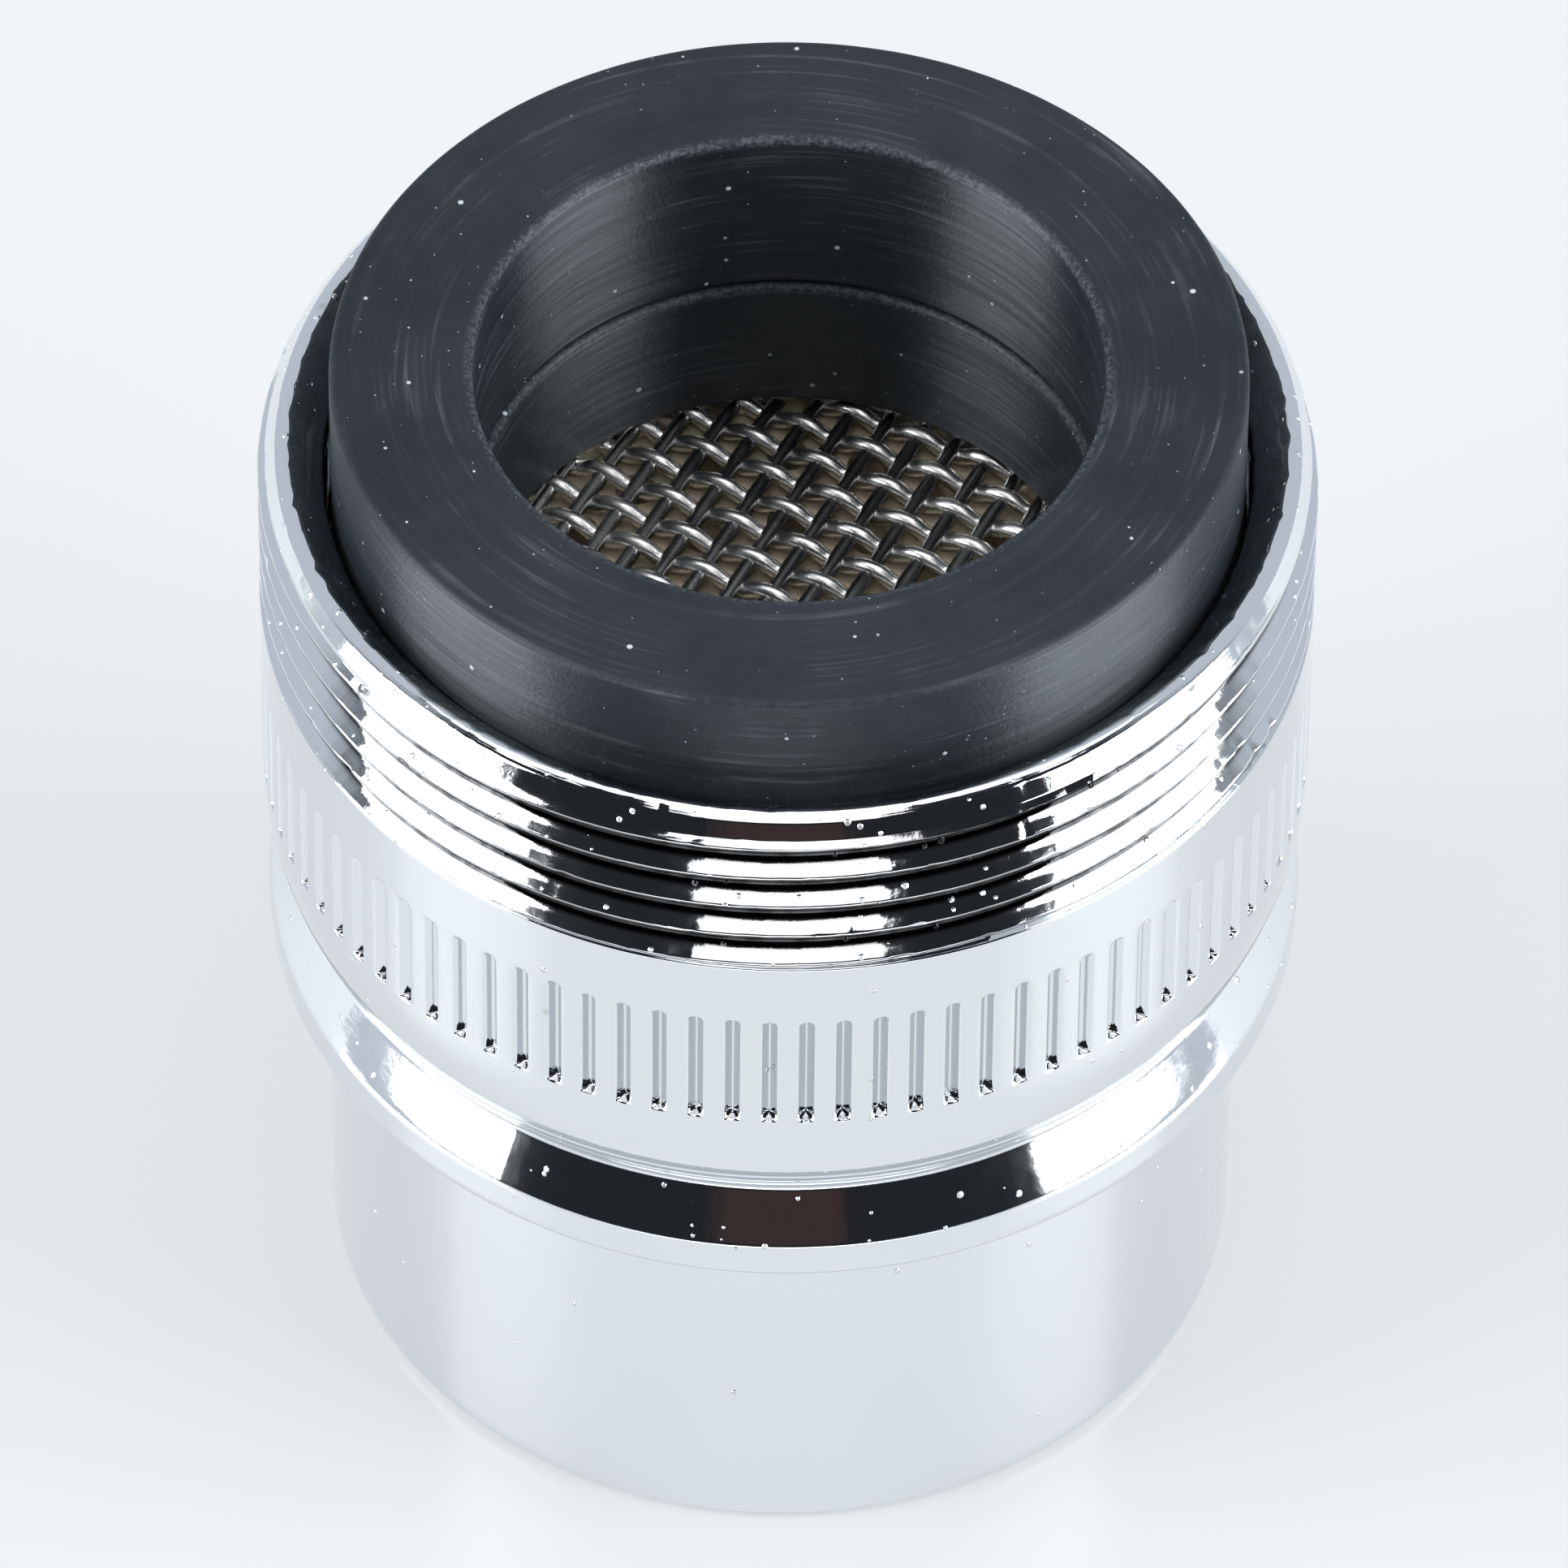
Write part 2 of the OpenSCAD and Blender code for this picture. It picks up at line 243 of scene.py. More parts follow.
def corner(r, z, size, start, end, steps=4):
    """Points (r, z) of a small arc about (r, z), from one direction to another, in degrees."""
    turns = np.radians(np.linspace(start, end, steps + 1))
    return [(r + size * math.cos(t), z + size * math.sin(t)) for t in turns]


# ---------------------------------------------------------------- the housing


def flute_columns(count, turn, radius):
    """Angles of the columns that follow the flutes, twelve to a flute, from one flute's centre on."""
    period = 2 * math.pi * radius / count
    half = [0.025, 0.08, 0.135, 0.175, 0.20, 0.31]
    across = np.array([-x for x in reversed(half)] + half)
    centres = turn + np.arange(count) * 2 * math.pi / count
    assert across[-1] < period / 2
    return (centres[:, None] + across[None, :] / radius).ravel(), np.tile(across, count)


def flute_dent(across, z, sizes, which):
    """Depth of the flute at a distance across from its centre and a height z."""
    w, depth = sizes.flute_w / MM, sizes.flute_depth / MM
    low, high = sizes.flute_low_z / MM, sizes.flute_high_z / MM
    high += 0.03 * rough(which, 3.1, 0.7, 0.83)
    low += 0.02 * rough(which, 9.4, 4.7, 0.91)
    depth *= 1 + 0.12 * rough(which, 5.9, 2.2, 0.77)
    centre = high - w / 2
    reach = math.hypot(across, max(z - centre, 0.0))
    side = min(max((w / 2 - reach) / (w / 2 - 0.03), 0.0), 1.0)
    side = side * side * (3 - 2 * side) * 0.35 + side * 0.65
    foot = min(max((z - low) / 0.05, 0.0), 1.0)
    step = 0.012 if -0.3 < across < -w / 2 and z < high else 0.0
    return (depth * side + step) * foot


class ThreadForm:
    """The thread's section: a rounded crest, a straight flank and a rounded root."""

    def __init__(self, sizes):
        self.pitch, self.depth = sizes.pitch / MM, sizes.depth / MM
        self.crest = sizes.crest_round / MM
        self.steep = 1 / math.tan(sizes.flank)
        cut = 1 / math.sin(sizes.flank) - 1
        self.root = (self.pitch / 2 * self.steep - self.depth) / cut - self.crest
        if self.root <= 0:
            raise ValueError("the thread is too deep or its crests too round for this pitch")
        self.crest_end = self.crest * math.cos(sizes.flank)
        self.root_end = self.pitch / 2 - self.root * math.cos(sizes.flank)
        self.crest_fall = self.crest * (1 - math.sin(sizes.flank))

    def drop(self, u):
        """How far the surface lies under the crest at u, the height above a crest's centre."""
        u = u % self.pitch
        u = min(u, self.pitch - u)
        if u < self.crest_end:
            return self.crest - math.sqrt(self.crest ** 2 - u ** 2)
        if u > self.root_end:
            return self.depth - self.root + math.sqrt(self.root ** 2 - (self.pitch / 2 - u) ** 2)
        return self.crest_fall + (u - self.crest_end) * self.steep

    def rows(self):
        """Heights above a crest's centre of the rows that follow the form in one turn."""
        up = [self.crest_end * part for part in (0.3, 0.58, 0.82, 1.0)]
        up += [(self.crest_end + self.root_end) / 2, self.root_end, self.pitch / 2 - self.root * 0.45]
        return [0.0] + up + [self.pitch / 2] + [self.pitch - u for u in reversed(up)]


def nick(angle, z, sizes):
    """How far a crest is worn back at a point: a slow wave with some sharp dents in it."""
    x, y = 12 * math.cos(angle), 12 * math.sin(angle)
    slow = 0.2 * (rough(x, y, z, 0.8) + 1) / 2
    sharp = max(rough(x, y, z * 1.6, 2.6) - 0.34, 0.0) * 2.4
    fine = 0.35 * max(rough(x, y, z * 2, 3.3), 0.0)
    return sizes.nick_depth / MM * (slow + sharp + fine)


def add_thread(skin, angles, sizes):
    """Adds the helical thread between two level rings, and returns those rings."""
    form = ThreadForm(sizes)
    pitch, crest_r = form.pitch, sizes.crest_d / MM / 2
    low, high = sizes.low_z / MM + 0.03, (sizes.high_z - sizes.bevel_tall) / MM - 0.06
    rows = form.rows()
    per_turn = len(rows)
    front = -math.pi / 2
    rise = pitch / (2 * math.pi)

    def radius(angle, z, u):
        drop = form.drop(u)
        outer = max(1 - drop / form.depth, 0.0)
        return crest_r - drop - outer * outer * nick(angle, z, sizes)

    # u = 0 at a crest of column 0; the rows climb by one pitch from column 0 round to column 0
    base = sizes.crest_z / MM - rise * (front - angles[0])
    n = len(angles)
    climb = rise * (angles - angles[0])
    margin = 0.012

    def height(k, i):
        return base + pitch * (k // per_turn) + rows[k % per_turn] + climb[i]

    spans = []
    for i in range(n):
        k_low = -per_turn * 8
        while height(k_low, i) < low + margin:
            k_low += 1
        k_high = k_low
        while height(k_high + 1, i) < high - margin:
            k_high += 1
        spans.append((k_low, k_high))
    ring_low = skin.round_ring(
        angles, np.array([radius(a, low, low - base - climb[i]) for i, a in enumerate(angles)]), low
    )
    index = []
    for i, a in enumerate(angles):
        k_low, k_high = spans[i]
        column = []
        for k in range(k_low, k_high + 1):
            z = height(k, i)
            r = radius(a, z, rows[k % per_turn])
            column.append((r * math.cos(a), r * math.sin(a), z))
        start, _ = skin.ring(column)
        index.append(start - k_low)
    ring_high = skin.round_ring(
        angles, np.array([radius(a, high, high - base - climb[i]) for i, a in enumerate(angles)]), high
    )
    for i in range(n):
        j = (i + 1) % n
        (lo_i, hi_i), (lo_j, hi_j) = spans[i], spans[j]
        at_i, at_j = index[i], index[j]
        if j == 0:
            # column 0 met again one turn on: its row k is this turn's row k - per_turn
            lo_j, hi_j, at_j = lo_j - per_turn, hi_j - per_turn, at_j + per_turn
        first, last = max(lo_i, lo_j), min(hi_i, hi_j)
        for k in range(first, last):
            skin.faces.append([at_i + k, at_j + k, at_j + k + 1, at_i + k + 1])
        skin.faces.append(
            [ring_low[0] + i, ring_low[0] + j]
            + [at_j + k for k in range(lo_j, first + 1)]
            + [at_i + k for k in range(first, lo_i - 1, -1)]
        )
        skin.faces.append(
            [ring_high[0] + j, ring_high[0] + i]
            + [at_i + k for k in range(hi_i, last - 1, -1)]
            + [at_j + k for k in range(last, hi_j + 1)]
        )
    return ring_low, ring_high


def collar_arc(z, sizes):
    """Radius of the rounded part between the collar and the waist."""
    r_collar, r_waist = sizes.collar_d / MM / 2, sizes.waist_d / MM / 2
    tall, deep = (sizes.collar_z - sizes.waist_z) / MM, r_collar - r_waist
    radius = (tall * tall + deep * deep) / (2 * deep)
    drop = sizes.collar_z / MM - z
    return r_collar - radius + math.sqrt(radius * radius - drop * drop)


def housing_skin(thread, sizes):
    """The housing's whole surface, from the foot up the outside and down the inside."""
    skin = Skin()
    r_collar = sizes.collar_d / MM / 2
    r_band, r_skirt = sizes.band_d / MM / 2, sizes.skirt_d / MM / 2
    r_waist, waist_z = sizes.waist_d / MM / 2, sizes.waist_z / MM
    band_low, band_high = sizes.band_low_z / MM, sizes.band_high_z / MM
    rim_z = thread.high_z / MM
    fine, across = flute_columns(sizes.flute_count, sizes.flute_turn, r_collar)
    coarse = fine[::2]

    # skirt, band, flare and waist
    profile = [(9.6, 0.0), (10.05, 0.0)] + corner(r_skirt - 0.35, 0.35, 0.35, -90, 0, 5)
    profile += [(r_skirt, z) for z in (0.6, 2.2, 4.2, 6.2, 8.2, 9.6)]
    profile += [(r_skirt, band_low - 0.06), (r_skirt + 0.02, band_low - 0.015), (r_skirt + 0.08, band_low)]
    profile += [(r_band - 0.5, band_low)] + corner(r_band - 0.3, band_low + 0.3, 0.3, -90, 0, 5)
    profile += [(r_band, band_low + 0.4), (r_band, band_high - 0.12), (r_band, band_high - 0.05),
                (r_band - 0.015, band_high + 0.01), (r_band - 0.06, band_high + 0.085)]
    slope = (r_band - r_waist) / (waist_z - band_high)
    profile += [(r_band - slope * h, band_high + h) for h in (0.2, 0.5, 0.8, 1.02)]
    profile += [(r_waist + slope * 0.1, waist_z - 0.1), (r_waist + 0.025, waist_z - 0.03),
                (r_waist + 0.012, waist_z + 0.03)]
    profile += [(collar_arc(waist_z + h, sizes), waist_z + h) for h in (0.12, 0.3)]
    for line_z, depth in ((12.84, 0.03), (13.20, 0.035)):
        for dz, part in ((-0.07, 0.0), (-0.03, 0.5), (0.0, 1.0), (0.03, 0.5), (0.07, 0.0)):
            profile.append((collar_arc(line_z + dz, sizes) - depth * part, line_z + dz))
    profile += [(collar_arc(z, sizes), z) for z in (13.6, 14.0, 14.5, 15.0)]
    first = previous = None
    for r, z in profile:
        ring = skin.round_ring(coarse, r, z)
        if previous:
            skin.join(previous, ring)
        first = first or ring
        previous = ring

    # the fluted collar, in columns that follow the flutes
    low, high = sizes.flute_low_z / MM, sizes.flute_high_z / MM
    rows = [low - 0.2, low - 0.06, low - 0.015, low + 0.005, low + 0.025, low + 0.045, low + 0.075, low + 0.25]
    rows += [low + 1.0, low + 1.9, high - 0.55, high - 0.28]
    rows += [high - w for w in (0.19, 0.15, 0.115, 0.08, 0.05, 0.02, -0.015, -0.06)]
    which = np.repeat(np.arange(sizes.flute_count), 12)
    for z in rows:
        dents = np.array([flute_dent(x, z, sizes, float(k)) for x, k in zip(across, which)])
        ring = skin.round_ring(fine, r_collar - dents, z)
        skin.join(previous, ring)
        previous = ring
    collar_top = thread.low_z / MM
    profile = [(r_collar, high + 0.5), (r_collar, collar_top - 0.25)]
    profile += corner(r_collar - 0.05, collar_top - 0.05, 0.05, 0, 90, 3)
    for r, z in profile:
        ring = skin.round_ring(coarse, r, z)
        skin.join(previous, ring)
        previous = ring

    # the thread, and over the rim into the mouth
    ring_low, ring_high = add_thread(skin, coarse, thread)
    skin.join(previous, ring_low)
    previous = ring_high
    tall, deep = thread.bevel_tall / MM, thread.bevel_deep / MM
    r_rim, r_mouth, r_inner = r_collar - deep, 11.15, 10.4
    slope = (deep - 0.17) / tall
    profile = [(r_rim + slope * h, rim_z - h) for h in (tall, tall - 0.04, 0.3, 0.16, 0.10)]
    profile += [(r_rim - 0.01, rim_z - 0.075), (r_rim - 0.035, rim_z - 0.052), (r_rim - 0.11, rim_z - 0.024)]
    for r, z in profile:
        wear = np.array([nick(a, z, thread) for a in coarse])
        ring = skin.round_ring(coarse, r - 0.6 * wear, z)
        skin.join(previous, ring)
        previous = ring
    for r, z in [(r_mouth + 0.06, rim_z - 0.004), (r_mouth, rim_z - 0.012), (r_mouth - 0.06, rim_z - 0.07),
                 (r_mouth - 0.3, rim_z - 0.31),
                 (r_inner + 0.06, rim_z - 0.70), (r_inner, rim_z - 0.80), (r_inner, rim_z - 1.3)]:
        burr = np.array([rough(11 * math.cos(a), 11 * math.sin(a), z, 2.6) for a in coarse])
        chip = 0.11 * np.maximum(burr, 0) if z > rim_z - 0.1 else 0.03 * burr
        ring = skin.round_ring(coarse, r + chip, z)
        skin.join(previous, ring)
        previous = ring

    # down the inside: seat, bore, lip and foot, in one column to a flute
    inner = coarse[::6]
    seat_z, bore_r, lip_z, lip_r = 17.95, 9.55, 1.2, 8.8
    profile = [(r_inner, rim_z - 1.6), (r_inner, seat_z + 0.1), (r_inner, seat_z), (r_inner - 0.1, seat_z),
               (bore_r + 0.08, seat_z), (bore_r, seat_z - 0.08), (bore_r, lip_z + 0.1), (bore_r, lip_z),
               (bore_r - 0.1, lip_z), (lip_r + 0.08, lip_z), (lip_r, lip_z - 0.08), (lip_r, 0.08),
               (lip_r + 0.08, 0.0)]
    for r, z in profile:
        ring = skin.round_ring(inner, r, z)
        skin.join(previous, ring)
        previous = ring
    skin.join(previous, first)
    return skin


# ---------------------------------------------------------------- washers and screens


def washer_skin(low, high, r_in, r_out, edge, marks=()):
    """A washer's surface: a ring with rounded, slightly uneven edges, and shallow lines at the given heights."""
    skin = Skin()
    angles = evenly(288)
    tall = high - low
    profile = corner(r_out - edge, low + edge, edge, -90, 0)
    heights = [low + edge + (tall - 2 * edge) * t for t in (0.12, 0.3, 0.5, 0.7, 0.88)]
    points = [(r_out, z) for z in heights]
    for z in marks:
        points += [(r_out, z - 0.06), (r_out - 0.008, z - 0.02), (r_out - 0.008, z + 0.02), (r_out, z + 0.06)]
    profile += sorted(points, key=lambda p: p[1])
    profile += corner(r_out - edge, high - edge, edge, 0, 90)
    profile += [(r_out - edge + (r_in - r_out + 2 * edge) * t, high) for t in (0.08, 0.25, 0.5, 0.75, 0.92)]
    profile += corner(r_in + edge, high - edge, edge, 90, 180)
    profile += [(r_in, z) for z in reversed(heights)]
    profile += corner(r_in + edge, low + edge, edge, 180, 270)
    profile += [(r_in + edge + (r_out - r_in - 2 * edge) * t, low) for t in (0.1, 0.5, 0.9)]
    first = previous = None
    for r, z in profile:
        sway = np.array([
            0.012 * rough(r * math.cos(a), r * math.sin(a), z, 0.35)
            + 0.004 * rough(r * math.cos(a), r * math.sin(a), z, 1.7) for a in angles
        ])
        keep = -abs(sway) if r > (r_in + r_out) / 2 else sway
        ring = skin.round_ring(angles, r + keep, z)
        if previous:
            skin.join(previous, ring)
        first = first or ring
        previous = ring
    skin.join(previous, first)
    return skin


def add_wire(skin, start, along, side, n_steps, step, wire_r, lift):
    """One wire from start along a direction, waving up and down, with round ends."""
    up = np.array([0.0, 0.0, 1.0])
    sides = 8
    turns = evenly(sides)
    previous = None
    for i in range(n_steps + 1):
        s = i * step
        centre = start + along * s + up * lift(s)
        slope = (lift(s + 0.01) - lift(s - 0.01)) / 0.02
        forward = along + up * slope
        forward /= np.linalg.norm(forward)
        over = np.cross(side, forward)
        size = wire_r if 0 < i < n_steps else wire_r * 0.6
        points = [centre + size * (math.cos(t) * side + math.sin(t) * over) for t in turns]
        ring = skin.ring(points)
        if previous:
            skin.join(previous, ring)
        else:
            skin.cap(ring, flip=True)
        previous = ring
    skin.cap(previous)


def screen_skin(low, thick, outer_r, weave_r, pitch, wire_d, angle, waves=(1.0, 1.0), flat=0.01):
    """A woven screen held in a pressed rim.

    waves scales the wave of the wires laid each way, and flat sets how flat the waves' tops are.
    """
    skin = Skin()
    middle = low + thick / 2
    wire_r = wire_d / 2
    wave = min((thick - wire_d) / 2, wire_r)
    count = int((weave_r + 0.05) / pitch)
    turn = math.radians(angle)
    axes = [np.array([math.cos(turn), math.sin(turn), 0.0]), np.array([-math.sin(turn), math.cos(turn), 0.0])]
    per_pitch = 8
    crossing = []
    for which in (0, 1):
        along, side = axes[which], axes[1 - which] * (1 if which == 0 else -1)
        crossing.append(len(skin.faces))
        for i in range(-count, count + 1):
            offset = i * pitch + 0.03 * rough(i, 4.2 + which, 1.3, 0.71)
            half = math.sqrt(max((weave_r + 0.25) ** 2 - offset ** 2, 0.04))
            n = max(int(2 * half / pitch * per_pitch), 4)
            sign = 1 if (i + which) % 2 == 0 else -1
            place = axes[1 - which] * offset

            def lift(s, sign=sign, half=half, tall=wave * waves[which]):
                turn_here = math.cos(math.pi * (s - half) / pitch)
                return middle + sign * tall * math.tanh(flat * turn_here) / math.tanh(flat)

            start = place - along * half
            add_wire(skin, start, along, side, n, 2 * half / n, wire_r, lift)
    crossing.append(len(skin.faces))
    angles = evenly(180)
    edge = min(0.14, thick / 3)
    inner = weave_r + 0.06
    profile = corner(outer_r - edge, low + edge, edge, -90, 0, 3)
    profile += corner(outer_r - edge, low + thick - edge, edge, 0, 90, 3)
    profile += corner(inner + edge, low + thick - edge, edge, 90, 180, 3)
    profile += corner(inner + edge, low + edge, edge, 180, 270, 3)
    first = previous = None
    for r, z in profile:
        ring = skin.round_ring(angles, r, z)
        if previous:
            skin.join(previous, ring)
        first = first or ring
        previous = ring
    skin.join(previous, first)
    return skin, range(crossing[1], crossing[2])


# ---------------------------------------------------------------- shader helpers


def add(tree, kind, ins=None, **props):
    """Adds a node. ins gives its inputs by name or number, as values or as sockets to link."""
    made = tree.nodes.new(kind)
    for key, value in props.items():
        setattr(made, key, value)
    for key, value in (ins or {}).items():
        if isinstance(value, bpy.types.NodeSocket):
            tree.links.new(value, made.inputs[key])
        else:
            made.inputs[key].default_value = value
    return made


def calc(tree, operation, *values, clamp=False):
    """A Math node's result."""
    return add(tree, "ShaderNodeMath", dict(enumerate(values)), operation=operation, use_clamp=clamp).outputs[0]


def ramp(tree, value, low, high, to_low=0.0, to_high=1.0, smooth=True):
    """A value mapped from one range to another."""
    return add(
        tree, "ShaderNodeMapRange",
        {"Value": value, "From Min": low, "From Max": high, "To Min": to_low, "To Max": to_high},
        interpolation_type="SMOOTHSTEP" if smooth else "LINEAR",
    ).outputs["Result"]


def blend(tree, mask, a, b):
    """Colour a where the mask is 0 and colour b where it is 1."""
    made = add(tree, "ShaderNodeMix", data_type="RGBA")
    for socket, value in ((made.inputs[0], mask), (made.inputs[6], a), (made.inputs[7], b)):
        if isinstance(value, bpy.types.NodeSocket):
            tree.links.new(value, socket)
        else:
            socket.default_value = value
    return made.outputs[2]


def rgba(value):
    """A colour with full alpha."""
    return (*value, 1.0)


def new_group(name, inputs, outputs):
    """A shader node group with its sockets, and its input and output nodes."""
    group = bpy.data.node_groups.new(name, "ShaderNodeTree")
    for label, kind, default in inputs:
        socket = group.interface.new_socket(name=label, in_out="INPUT", socket_type=kind)
        if default is not None:
            socket.default_value = default
    for label, kind in outputs:
        group.interface.new_socket(name=label, in_out="OUTPUT", socket_type=kind)
    return group, group.nodes.new("NodeGroupInput"), group.nodes.new("NodeGroupOutput")


def specks_group():
    """Small round specks at random places, for dust, pits and plating nodules."""
    group, given, out = new_group(
        "Specks",
        [("Vector", "NodeSocketVector", None), ("Scale", "NodeSocketFloat", 1.0),
         ("Share", "NodeSocketFloat", 0.1), ("Size", "NodeSocketFloat", 0.15)],
        [("Mask", "NodeSocketFloat")],
    )
    cells = add(group, "ShaderNodeTexVoronoi", {"Vector": given.outputs["Vector"], "Scale": given.outputs["Scale"]})
    split = add(group, "ShaderNodeSeparateColor", {"Color": cells.outputs["Color"]})
    chosen = calc(group, "LESS_THAN", split.outputs["Red"], given.outputs["Share"])
    size = calc(group, "MULTIPLY", given.outputs["Size"], calc(group, "ADD", split.outputs["Green"], 0.35))
    near = calc(group, "DIVIDE", cells.outputs["Distance"], size)
    dot = ramp(group, near, 1.0, 0.55)
    group.links.new(calc(group, "MULTIPLY", chosen, dot), out.inputs["Mask"])
    return group


def mottle_group():
    """A slow uneven value, for handling marks and differences in sheen."""
    group, given, out = new_group(
        "Mottle",
        [("Vector", "NodeSocketVector", None), ("Scale", "NodeSocketFloat", 1.0),
         ("Low", "NodeSocketFloat", 0.0), ("High", "NodeSocketFloat", 1.0)],
        [("Value", "NodeSocketFloat")],
    )
    cloud = add(
        group, "ShaderNodeTexNoise",
        {"Vector": given.outputs["Vector"], "Scale": given.outputs["Scale"], "Detail": 4.0, "Roughness": 0.6},
    )
    value = add(
        group, "ShaderNodeMapRange",
        {"Value": cloud.outputs[0], "From Min": 0.32, "From Max": 0.68,
         "To Min": given.outputs["Low"], "To Max": given.outputs["High"]},
    )
    group.links.new(value.outputs["Result"], out.inputs["Value"])
    return group


def turned_group():
    """Fine rings about the axis, as a lathe tool or a turning scuff leaves them."""
    group, given, out = new_group(
        "Turned rings",
        [("Vector", "NodeSocketVector", None), ("Scale", "NodeSocketFloat", 6.0), ("Break", "NodeSocketFloat", 0.2)],
        [("Value", "NodeSocketFloat"), ("Radius", "NodeSocketFloat"), ("Height", "NodeSocketFloat")],
    )
    split = add(group, "ShaderNodeSeparateXYZ", {"Vector": given.outputs["Vector"]})
    x, y, z = split.outputs
    radius = calc(group, "SQRT", calc(group, "ADD", calc(group, "MULTIPLY", x, x), calc(group, "MULTIPLY", y, y)))
    part = given.outputs["Break"]
    place = add(
        group, "ShaderNodeCombineXYZ",
        {0: calc(group, "MULTIPLY_ADD", radius, given.outputs["Scale"], calc(group, "MULTIPLY", x, part)),
         1: calc(group, "MULTIPLY", y, part), 2: calc(group, "MULTIPLY", z, given.outputs["Scale"])},
    )
    lines = add(group, "ShaderNodeTexNoise", {"Vector": place.outputs[0], "Scale": 1.0, "Detail": 3.0, "Roughness": 0.6})
    group.links.new(lines.outputs[0], out.inputs["Value"])
    group.links.new(radius, out.inputs["Radius"])
    group.links.new(z, out.inputs["Height"])
    return group


def ring_line_group():
    """A soft line round the axis at one radius and height, for worn edges."""
    group, given, out = new_group(
        "Ring line",
        [("Radius", "NodeSocketFloat", 0.0), ("Height", "NodeSocketFloat", 0.0), ("At radius", "NodeSocketFloat", 1.0),
         ("At height", "NodeSocketFloat", 1.0), ("Width", "NodeSocketFloat", 0.1)],
        [("Mask", "NodeSocketFloat")],
    )
    dr = calc(group, "SUBTRACT", given.outputs["Radius"], given.outputs["At radius"])
    dz = calc(group, "SUBTRACT", given.outputs["Height"], given.outputs["At height"])
    far = calc(group, "SQRT", calc(group, "ADD", calc(group, "MULTIPLY", dr, dr), calc(group, "MULTIPLY", dz, dz)))
    mask = ramp(group, calc(group, "DIVIDE", far, given.outputs["Width"]), 1.0, 0.2)
    group.links.new(mask, out.inputs["Mask"])
    return group


def spot_group():
    """A soft spot round one point, for a single mark."""
    group, given, out = new_group(
        "Spot",
        [("Vector", "NodeSocketVector", None), ("Centre", "NodeSocketVector", None), ("Radius", "NodeSocketFloat", 1.0)],
        [("Mask", "NodeSocketFloat")],
    )
    far = add(group, "ShaderNodeVectorMath", {0: given.outputs["Vector"], 1: given.outputs["Centre"]},
              operation="DISTANCE").outputs["Value"]
    group.links.new(ramp(group, calc(group, "DIVIDE", far, given.outputs["Radius"]), 1.0, 0.3), out.inputs["Mask"])
    return group


GROUP_MAKERS = {
    "Specks": specks_group, "Mottle": mottle_group, "Turned rings": turned_group, "Ring line": ring_line_group,
    "Spot": spot_group,
}


def use(tree, name, **values):
    """Places one of the shared groups, made once, with its own values."""
    group = bpy.data.node_groups.get(name) or GROUP_MAKERS[name]()
    made = tree.nodes.new("ShaderNodeGroup")
    made.node_tree = group
    for label, value in values.items():
        socket = made.inputs[label.replace("_", " ")]
        if isinstance(value, bpy.types.NodeSocket):
            tree.links.new(value, socket)
        else:
            socket.default_value = value
    return made.outputs


def new_material(name):
    """A material with its Principled shader, and the point on the object in millimetres."""
    made = bpy.data.materials.new(name)
    made.use_nodes = True
    tree = made.node_tree
    shader = tree.nodes["Principled BSDF"]
    place = add(tree, "ShaderNodeTexCoord")
    scaled = add(tree, "ShaderNodeVectorMath", {0: place.outputs["Object"], "Scale": 1 / MM}, operation="SCALE")
    return made, tree, shader, scaled.outputs[0]


def bump(tree, height, strength, distance_mm, under=None):
    """A Bump node's normal."""
    ins = {"Height": height, "Strength": strength, "Distance": distance_mm * MM}
    if under is not None:
        ins["Normal"] = under
    return add(tree, "ShaderNodeBump", ins).outputs[0]


# ---------------------------------------------------------------- materials


